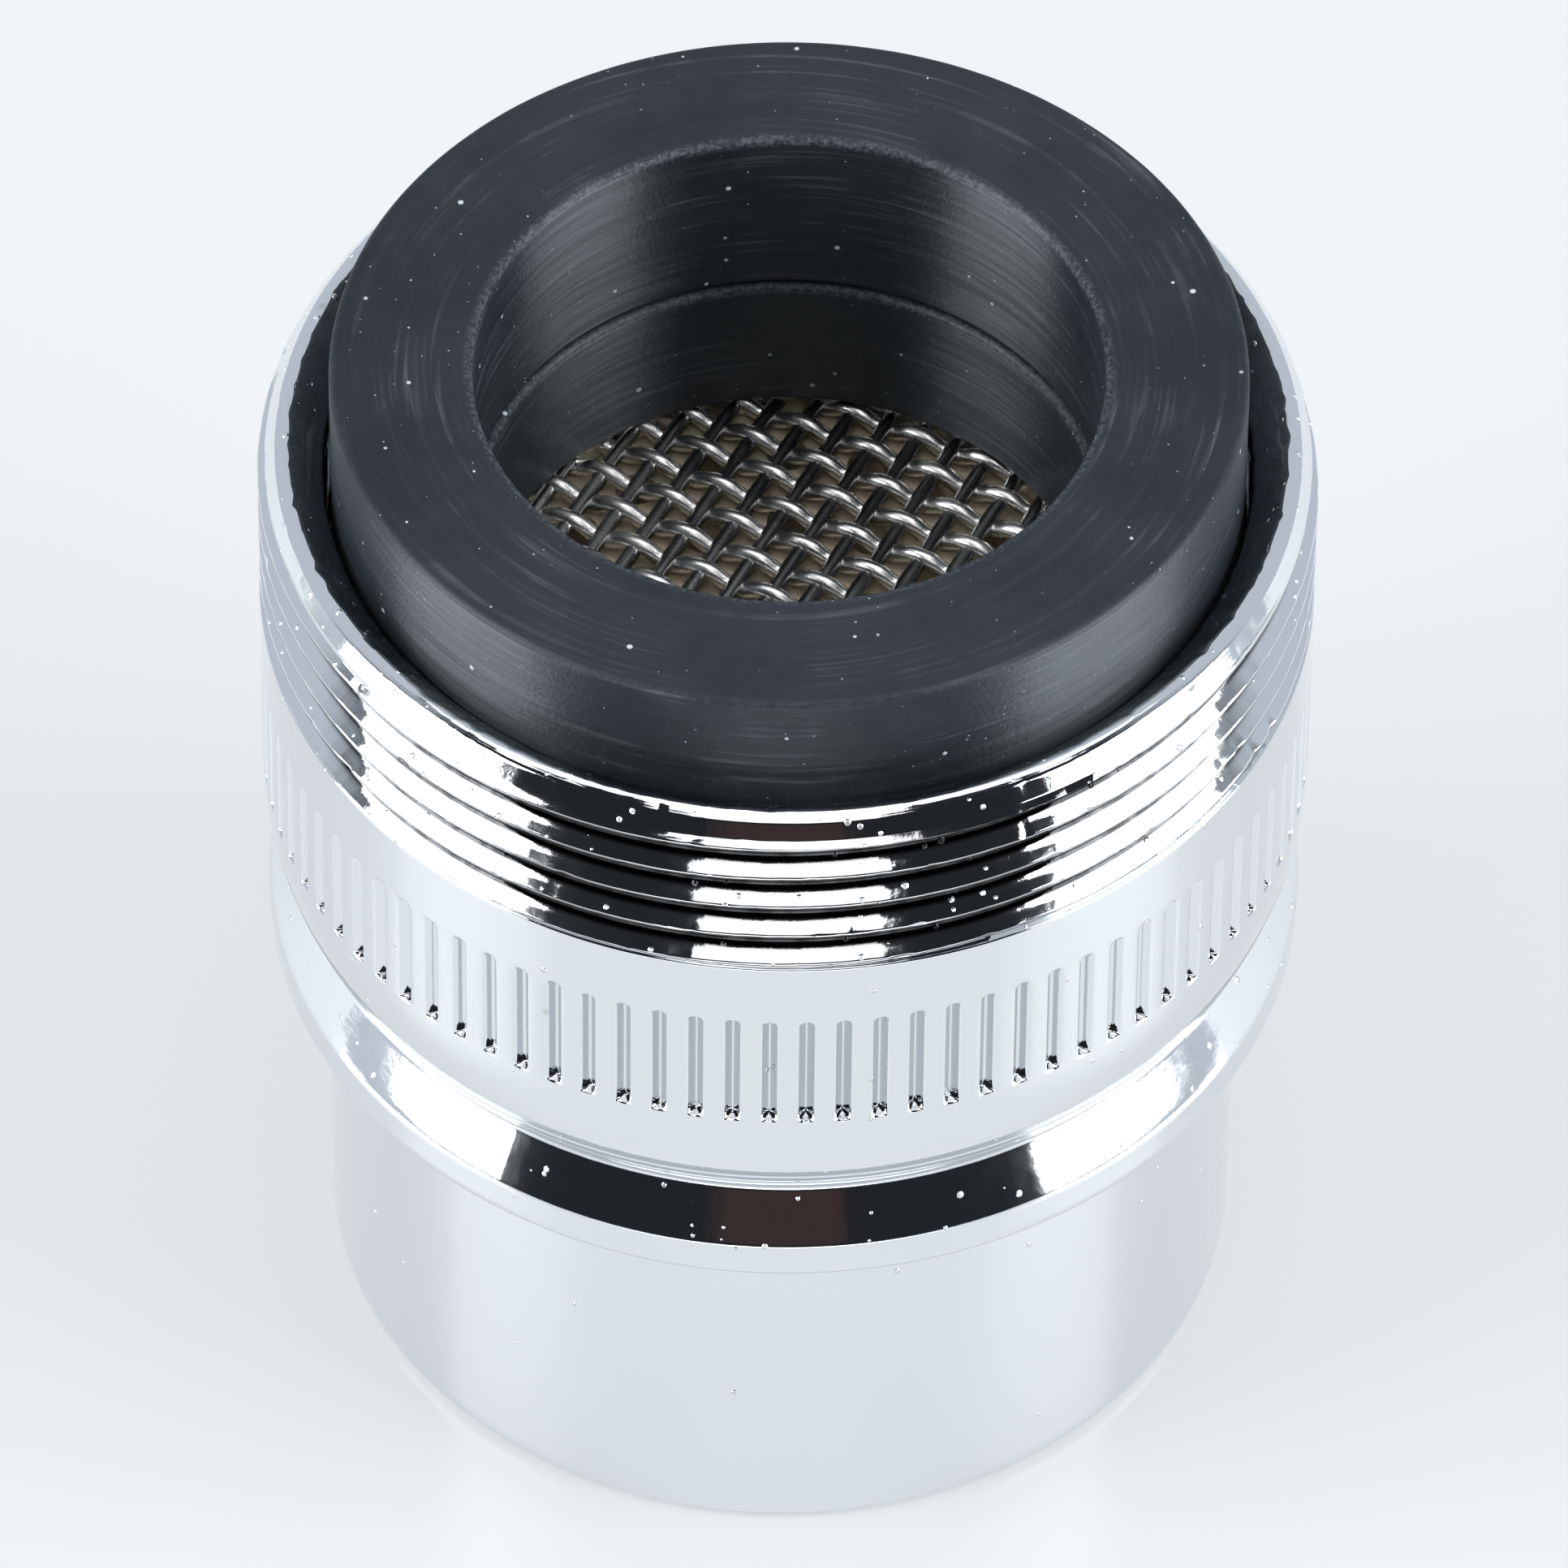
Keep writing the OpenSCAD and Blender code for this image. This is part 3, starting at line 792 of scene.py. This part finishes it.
def chrome_material(finish, thread):
    """Polished plating over brass: bright, with pits, nodules, smudges, painted shade in the thread's roots and under
    its crests, and a brassy rim.
    """
    made, tree, shader, at = new_material("Chrome plate")
    rings = use(tree, "Turned rings", Vector=at, Scale=5.0, Break=0.15)
    smudge = use(tree, "Mottle", Vector=at, Scale=0.22, Low=0.0, High=1.0)["Value"]
    fine = use(tree, "Mottle", Vector=at, Scale=1.6, Low=0.0, High=1.0)["Value"]
    pits = use(tree, "Specks", Vector=at, Scale=0.75, Share=0.10, Size=0.10)["Mask"]
    on_flare = calc(tree, "MULTIPLY", ramp(tree, rings["Height"], 10.9, 11.1), ramp(tree, rings["Height"], 12.3, 12.1))
    many = calc(tree, "MULTIPLY_ADD", on_flare, 0.2, ramp(tree, rings["Height"], 20.3, 20.7, 0.03, 0.4))
    nodules = use(tree, "Specks", Vector=at, Scale=3.0, Share=many, Size=0.2)["Mask"]
    rim = use(tree, "Ring line", Radius=rings["Radius"], Height=rings["Height"],
              At_radius=10.85, At_height=24.85, Width=0.55)["Mask"]
    stain = use(tree, "Spot", Vector=at, Centre=(8.75, -7.15, 11.75), Radius=1.3)["Mask"]
    dull = calc(tree, "MAXIMUM", calc(tree, "MULTIPLY", pits, 0.35), calc(tree, "MULTIPLY", stain, calc(tree, "MULTIPLY", fine, 0.6)))
    colour_a = blend(tree, dull, rgba(finish.chrome), rgba([c * 0.45 for c in finish.chrome]))
    crest_r = thread.crest_d / MM / 2
    # painted shade: the thread's roots, and the sides of its crests that face down, are darkened almost to black where
    # the crests shade them
    in_root = calc(tree, "MULTIPLY", ramp(tree, rings["Radius"], crest_r - 0.24, crest_r - 0.34),
                   ramp(tree, rings["Radius"], crest_r - 0.70, crest_r - 0.66))
    in_thread = calc(tree, "MULTIPLY", ramp(tree, rings["Height"], 20.62, 20.70),
                     ramp(tree, rings["Height"], 24.62, 24.54))
    facing = add(tree, "ShaderNodeTexCoord").outputs["Normal"]
    up = add(tree, "ShaderNodeSeparateXYZ", {0: facing}).outputs["Z"]
    on_crest = calc(tree, "MULTIPLY", ramp(tree, up, 0.30, 0.12), ramp(tree, up, -0.66, -0.50))
    on_crest = calc(tree, "MULTIPLY", on_crest, ramp(tree, rings["Radius"], crest_r - 0.24, crest_r - 0.20))
    darkening = calc(tree, "MAXIMUM", calc(tree, "MULTIPLY", in_root, ramp(tree, fine, 0.2, 0.8, 0.985, 0.95)),
                 calc(tree, "MULTIPLY", on_crest, 0.72))
    darkening = calc(tree, "MULTIPLY", darkening, in_thread)
    colour_a = blend(tree, darkening, colour_a, rgba((0.006, 0.0062, 0.0065)))
    tint = calc(tree, "MULTIPLY", rim, calc(tree, "MULTIPLY", fine, 0.5))
    plated = blend(tree, tint, colour_a, rgba(finish.brass))
    # painted shade: plating that other plating sees is darkened, and plating that dull surfaces see is nearly black,
    # which keeps its glare off the floor and the rubber
    rays = add(tree, "ShaderNodeLightPath").outputs
    painted_bounce_shade = calc(tree, "MAXIMUM", calc(tree, "MULTIPLY", rays["Is Diffuse Ray"], 0.95),
                  calc(tree, "MULTIPLY", rays["Is Glossy Ray"], 0.3))
    tree.links.new(blend(tree, painted_bounce_shade, plated, rgba((0.0, 0.0, 0.0))), shader.inputs["Base Color"])
    shader.inputs["Metallic"].default_value = 1.0
    gloss = calc(tree, "MULTIPLY_ADD", smudge, 0.03, 0.035)
    gloss = calc(tree, "MULTIPLY_ADD", calc(tree, "MULTIPLY", stain, fine), 0.04, gloss)
    gloss = calc(tree, "MULTIPLY_ADD", nodules, 0.3, gloss)
    tree.links.new(calc(tree, "MULTIPLY_ADD", fine, 0.015, gloss), shader.inputs["Roughness"])
    lines = bump(tree, rings["Value"], 0.03, 0.02)
    peel = bump(tree, fine, 0.02, 0.05, lines)
    tree.links.new(bump(tree, nodules, 0.8, 0.035, peel), shader.inputs["Normal"])
    return made


def rubber_material(name, finish, top_z, bore_r, outer_r, shine, wall):
    """Dark rubber with turned scuffs, dust, and worn edges at its bore and outside; its walls are shinier."""
    made, tree, shader, at = new_material(name)
    rings = use(tree, "Turned rings", Vector=at, Scale=7.0, Break=0.25)
    cloud = use(tree, "Mottle", Vector=at, Scale=0.35, Low=0.0, High=1.0)["Value"]
    grain = use(tree, "Mottle", Vector=at, Scale=9.0, Low=0.0, High=1.0)["Value"]
    dust = use(tree, "Specks", Vector=at, Scale=2.0, Share=0.19, Size=0.13)["Mask"]
    fine_dust = use(tree, "Specks", Vector=at, Scale=5.0, Share=0.16, Size=0.13)["Mask"]
    bore_edge = use(tree, "Ring line", Radius=rings["Radius"], Height=rings["Height"],
                    At_radius=bore_r + 0.06, At_height=top_z - 0.06, Width=0.22)["Mask"]
    outer_edge = use(tree, "Ring line", Radius=rings["Radius"], Height=rings["Height"],
                     At_radius=outer_r - 0.05, At_height=top_z - 0.05, Width=0.16)["Mask"]
    scuff = ramp(tree, rings["Value"], 0.52, 0.78)
    scuffed = calc(tree, "MULTIPLY", scuff, ramp(tree, cloud, 0.3, 0.8, 0.012, 0.08))
    haze = calc(tree, "MULTIPLY_ADD", cloud, 0.012, scuffed)
    base = blend(tree, haze, rgba(finish.rubber), rgba(finish.dust))
    worn = calc(tree, "MULTIPLY", calc(tree, "MAXIMUM", bore_edge, calc(tree, "MULTIPLY", outer_edge, 0.2)),
                ramp(tree, grain, 0.2, 0.9, 0.0, 0.07))
    base = blend(tree, worn, base, rgba(finish.dust))
    specks = calc(tree, "MAXIMUM", dust, calc(tree, "MULTIPLY", fine_dust, 0.45))
    base = blend(tree, calc(tree, "MULTIPLY", specks, 0.75), base, rgba(finish.dust))
    tree.links.new(base, shader.inputs["Base Color"])
    tree.links.new(ramp(tree, rings["Value"], 0.3, 0.7, shine, shine + 0.12), shader.inputs["Roughness"])
    # the turned rings spread a highlight across them, along the axis on a wall
    shader.inputs["Anisotropic"].default_value = 1.0 if wall else 0.5
    shader.inputs["Anisotropic Rotation"].default_value = 0.25
    shader.inputs["Specular IOR Level"].default_value = 1.0 if wall else 0.38
    shader.inputs["IOR"].default_value = 1.4 if wall else 1.5
    shader.inputs["Specular Tint"].default_value = (0.84, 0.94, 1.0, 1.0)
    round_it = add(tree, "ShaderNodeTangent", direction_type="RADIAL", axis="Z")
    tree.links.new(round_it.outputs[0], shader.inputs["Tangent"])
    lines = bump(tree, rings["Value"], 0.15 if wall else 0.12, 0.05)
    rugged = bump(tree, grain, 0.10, 0.03, lines)
    tree.links.new(bump(tree, specks, 0.3, 0.03, rugged), shader.inputs["Normal"])
    return made


def wire_material(name, colour_value, gloss):
    """Drawn wire: bright metal with small differences in sheen and some dark specks of dirt."""
    made, tree, shader, at = new_material(name)
    cloud = use(tree, "Mottle", Vector=at, Scale=1.3, Low=0.0, High=1.0)["Value"]
    grain = use(tree, "Mottle", Vector=at, Scale=11.0, Low=0.0, High=1.0)["Value"]
    darkening = use(tree, "Specks", Vector=at, Scale=2.2, Share=0.2, Size=0.2)["Mask"]
    tone = blend(tree, calc(tree, "MULTIPLY", cloud, 0.35), rgba(colour_value), rgba([c * 0.55 for c in colour_value]))
    tone = blend(tree, calc(tree, "MULTIPLY", darkening, 0.4), tone, rgba((0.20, 0.15, 0.09)))
    tree.links.new(tone, shader.inputs["Base Color"])
    shader.inputs["Metallic"].default_value = 1.0
    tree.links.new(calc(tree, "MULTIPLY_ADD", cloud, 0.12, gloss), shader.inputs["Roughness"])
    tree.links.new(bump(tree, grain, 0.15, 0.01), shader.inputs["Normal"])
    return made


def plastic_material(finish):
    """Cream moulded plastic, satin, with faint flow marks."""
    made, tree, shader, at = new_material("Cream plastic")
    cloud = use(tree, "Mottle", Vector=at, Scale=0.5, Low=0.0, High=1.0)["Value"]
    grain = use(tree, "Mottle", Vector=at, Scale=6.0, Low=0.0, High=1.0)["Value"]
    tone = blend(tree, calc(tree, "MULTIPLY", cloud, 0.25), rgba(finish.plastic), rgba([c * 0.8 for c in finish.plastic]))
    tree.links.new(tone, shader.inputs["Base Color"])
    tree.links.new(calc(tree, "MULTIPLY_ADD", cloud, 0.1, 0.42), shader.inputs["Roughness"])
    tree.links.new(bump(tree, grain, 0.08, 0.02), shader.inputs["Normal"])
    return made


def floor_material(finish):
    """Pale floor, a matt sheet on a light table, so its shadows stay faint."""
    made, tree, shader, at = new_material("Pale floor")
    cloud = use(tree, "Mottle", Vector=at, Scale=0.02, Low=0.0, High=1.0)["Value"]
    tone = blend(tree, calc(tree, "MULTIPLY", cloud, 0.3), rgba(finish.floor), rgba([c * 0.985 for c in finish.floor]))
    tree.links.new(blend(tree, 0.80, tone, rgba((0.0, 0.0, 0.0))), shader.inputs["Base Color"])
    tree.links.new(blend(tree, 0.345, tone, rgba((0.0, 0.0, 0.0))), shader.inputs["Emission Color"])
    shader.inputs["Emission Strength"].default_value = 1.0
    shader.inputs["Roughness"].default_value = 0.22
    shader.inputs["Specular IOR Level"].default_value = 0.2
    return made


def finish_piece(piece, material, replaces=None):
    """Gives a piece its material, hangs it on its body's empty, and hides the CAD node it replaces."""
    piece.data.materials.clear()
    piece.data.materials.append(material)
    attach(piece, BODY)
    if replaces:
        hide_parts(replaces)
    return piece


def repaint(node, material):
    """Gives a CAD node its own material."""
    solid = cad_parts[node]
    if solid.material_slots:
        for held in solid.material_slots:
            held.material = material
    else:
        solid.data.materials.append(material)


# ---------------------------------------------------------------- operators


class ADAPTER_OT_housing(bpy.types.Operator):
    """Make the chromed housing with its thread and flutes"""

    bl_idname = "adapter.housing"
    bl_label = "Housing"

    def execute(self, context):
        scene = context.scene
        skin = housing_skin(scene.adapter_thread, scene.adapter_collar)
        plate = chrome_material(scene.adapter_finish, scene.adapter_thread)
        finish_piece(skin.build("housing_plated"), plate, "housing")
        return {"FINISHED"}


class ADAPTER_OT_washers(bpy.types.Operator):
    """Make the two rubber washers"""

    bl_idname = "adapter.washers"
    bl_label = "Washers"

    def execute(self, context):
        finish = context.scene.adapter_finish
        for node, bore_r, marks in (("thick_washer", 7.05, (25.4,)), ("lower_washer", 6.9, ())):
            low, high, outer_r = node_span(node)
            piece = washer_skin(low, high, bore_r, outer_r, 0.18, marks).build(node + "_rubber")
            label = node.replace("_", " ").capitalize()
            face = rubber_material(label + " face", finish, high, bore_r, outer_r, 0.46, False)
            wall = rubber_material(label + " wall", finish, high, bore_r, outer_r, 0.36, True)
            finish_piece(piece, face, node)
            piece.data.materials.append(wall)
            for side in piece.data.polygons:
                side.material_index = 1 if abs(side.normal.z) < 0.5 else 0
        return {"FINISHED"}


class ADAPTER_OT_screens(bpy.types.Operator):
    """Make the woven inlet and outlet screens, and finish the two screens between them"""

    bl_idname = "adapter.screens"
    bl_label = "Screens"

    def execute(self, context):
        finish = context.scene.adapter_finish
        inlet = wire_material("Inlet wire", finish.wire, 0.22)
        fine = wire_material("Fine wire", finish.fine_wire, 0.28)
        low, high, outer_r = node_span("inlet_screen")
        woven, straight = screen_skin(low, high - low, outer_r, 7.1, 0.85, 0.40, -26.0, (0.62, 0.0), 1.3)
        piece = finish_piece(woven.build("inlet_screen_weave"), inlet, "inlet_screen")
        # painted shade: the cross wires are the same wire as the others, given its colour at 0.4 so that they read
        # dark
        piece.data.materials.append(wire_material("Inlet cross wire in painted shade", [c * 0.4 for c in finish.wire], 0.2))
        for k in straight:
            piece.data.polygons[k].material_index = 1
        low, high, outer_r = node_span("outlet_screen")
        woven, _ = screen_skin(low, high - low, outer_r, outer_r - 1.0, 0.575, 0.2, 60.0)
        finish_piece(woven.build("outlet_screen_weave"), fine, "outlet_screen")
        for node in ("mixing_screen_upper", "mixing_screen_lower"):
            repaint(node, fine)
        return {"FINISHED"}


class ADAPTER_OT_insert(bpy.types.Operator):
    """Finish the insert's plastic pieces"""

    bl_idname = "adapter.insert"
    bl_label = "Insert"

    def execute(self, context):
        plastic = plastic_material(context.scene.adapter_finish)
        for node in ("jet_disc", "insert_sleeve", "spacer_ring_upper", "spacer_ring_lower"):
            repaint(node, plastic)
        return {"FINISHED"}


def area_light(name, place, aim, size, brightness, tint=(1.0, 1.0, 1.0)):
    """A rectangular soft light, as bright as a white card would look at that brightness. Lengths are in metres."""
    data = bpy.data.lights.new(name, "AREA")
    data.shape = "RECTANGLE"
    data.size, data.size_y = size
    data.energy = brightness * math.pi * size[0] * size[1]
    data.color = tint
    made = bpy.data.objects.new(name, data)
    bpy.context.scene.collection.objects.link(made)
    made.location = place
    made.rotation_euler = (Vector(place) - Vector(aim)).to_track_quat("Z", "Y").to_euler()
    return made


def studio_world(stage, pale):
    """The room round the object: dark in front with a warm card, pale low down behind, pale to the camera."""
    world = bpy.data.worlds.new("Studio")
    bpy.context.scene.world = world
    world.use_nodes = True
    tree = world.node_tree
    tree.nodes.clear()
    place = add(tree, "ShaderNodeTexCoord")
    x, y, z = add(tree, "ShaderNodeSeparateXYZ", {0: place.outputs["Generated"]}).outputs
    behind = calc(tree, "MAXIMUM", ramp(tree, y, 0.0, 0.26),
                  calc(tree, "MULTIPLY", ramp(tree, y, -0.5, -0.3), ramp(tree, z, 0.2, 0.34, 1.0, 0.0)))
    rays = add(tree, "ShaderNodeLightPath")
    # the wall lights dull surfaces less than it shows in bright ones, so the floor stays even round the object
    behind = calc(tree, "MULTIPLY", behind, calc(tree, "MULTIPLY_ADD", rays.outputs["Is Diffuse Ray"], -0.65, 1.0))
    shade = blend(tree, behind, rgba(stage.room), rgba(stage.back))
    beside = ramp(tree, calc(tree, "ABSOLUTE", x), 0.17, 0.25, 1.0, 0.0)
    above = calc(tree, "MULTIPLY", ramp(tree, z, 0.12, 0.18), ramp(tree, z, 0.36, 0.46, 1.0, 0.0))
    ahead = calc(tree, "LESS_THAN", y, 0.0)
    warm = calc(tree, "MULTIPLY", calc(tree, "MULTIPLY", beside, above), ahead)
    shade = blend(tree, warm, shade, rgba(stage.card))
    shade = blend(tree, ramp(tree, z, -0.06, 0.0, 1.0, 0.0), shade, rgba(pale))
    tone = blend(tree, rays.outputs["Is Camera Ray"], shade, rgba(pale))
    light = add(tree, "ShaderNodeBackground", {"Color": tone, "Strength": 1.0})
    out = add(tree, "ShaderNodeOutputWorld")
    tree.links.new(light.outputs[0], out.inputs["Surface"])


class ADAPTER_OT_stage(bpy.types.Operator):
    """Make the floor, the lights and the camera"""

    bl_idname = "adapter.stage"
    bl_label = "Stage"

    def execute(self, context):
        scene = context.scene
        settings = scene.adapter_stage
        scene.view_settings.view_transform = "Standard"
        scene.view_settings.look = "None"
        floor = Skin()
        angles = evenly(96)
        rings = [floor.round_ring(angles, r, -0.02) for r in (20.0, 60.0, 200.0, 600.0)]
        floor.cap(rings[0])
        for a, b in zip(rings, rings[1:]):
            floor.join(b, a)
        ground = floor.build("floor")
        ground.data.materials.append(floor_material(scene.adapter_finish))
        for name, x, y, width in (("Left light", -0.60, -0.20, 0.46), ("Right light", 0.60, -0.22, 0.52)):
            area_light(name, (x, y, 0.40), (0.0, y, 0.40), (width, 0.70), settings.side_light)
        area_light("Top light", (0.0, -0.02, 0.80), (0.0, 0.0, 0.014), (0.33, 0.64), settings.top_light,
                   (1.0, 0.965, 0.975))
        area_light("Wide top light", (0.0, 0.10, 0.81), (0.0, 0.10, 0.0), (0.84, 0.30), settings.top_light)
        area_light("Front top light", (0.0, -0.50, 0.79), (0.0, -0.50, 0.0), (0.46, 0.38), settings.top_light)
        area_light("Front card", (0.0, -0.21, 0.002), (0.0, -0.21, 0.5), (0.08, 0.30), settings.front_light)
        studio_world(settings, scene.adapter_finish.floor)
        elevation, distance, roll = math.radians(47.386), 0.4013, 0.01121
        pivot = Vector((0.0, 0.0, 0.01652))
        data = bpy.data.cameras.new("Camera")
        camera = bpy.data.objects.new("Camera", data)
        scene.collection.objects.link(camera)
        camera.location = pivot + distance * Vector((0.0, -math.cos(elevation), math.sin(elevation)))
        look = Vector((-0.000015, 0.0, 0.01366)) - camera.location
        turn = look.to_track_quat("-Z", "Y").to_matrix() @ Matrix.Rotation(roll, 3, "Z")
        camera.rotation_euler = turn.to_euler()
        data.sensor_width = 36.0
        data.lens = 405.6
        data.clip_start, data.clip_end = 0.01, 20.0
        scene.camera = camera
        return {"FINISHED"}


class ADAPTER_PT_panel(bpy.types.Panel):
    """Lists the adapter's pieces and their settings"""

    bl_idname = "ADAPTER_PT_panel"
    bl_label = "Faucet adapter"
    bl_space_type = "VIEW_3D"
    bl_region_type = "UI"
    bl_category = "Adapter"

    def draw(self, context):
        scene = context.scene
        for step in STEPS:
            self.layout.operator(step.bl_idname)
        for group in (scene.adapter_thread, scene.adapter_collar, scene.adapter_finish, scene.adapter_stage):
            box = self.layout.box()
            for key in group.__annotations__:
                box.prop(group, key)


SETTINGS = {
    "adapter_thread": AdapterThreadSizes, "adapter_collar": AdapterCollarSizes,
    "adapter_finish": AdapterFinish, "adapter_stage": AdapterStage,
}
STEPS = (ADAPTER_OT_stage, ADAPTER_OT_housing, ADAPTER_OT_washers, ADAPTER_OT_screens, ADAPTER_OT_insert)


def register():
    """Registers the settings, the operators and the panel."""
    for name, group in SETTINGS.items():
        bpy.utils.register_class(group)
        setattr(bpy.types.Scene, name, bpy.props.PointerProperty(type=group))
    for step in STEPS:
        bpy.utils.register_class(step)
    bpy.utils.register_class(ADAPTER_PT_panel)


def unregister():
    """Takes the panel, the operators and the settings away again."""
    bpy.utils.unregister_class(ADAPTER_PT_panel)
    for step in reversed(STEPS):
        bpy.utils.unregister_class(step)
    for name, group in SETTINGS.items():
        delattr(bpy.types.Scene, name)
        bpy.utils.unregister_class(group)


def main():
    register()
    for step in (bpy.ops.adapter.stage, bpy.ops.adapter.housing, bpy.ops.adapter.washers,
                 bpy.ops.adapter.screens, bpy.ops.adapter.insert):
        step()


if __name__ == "__main__":
    main()
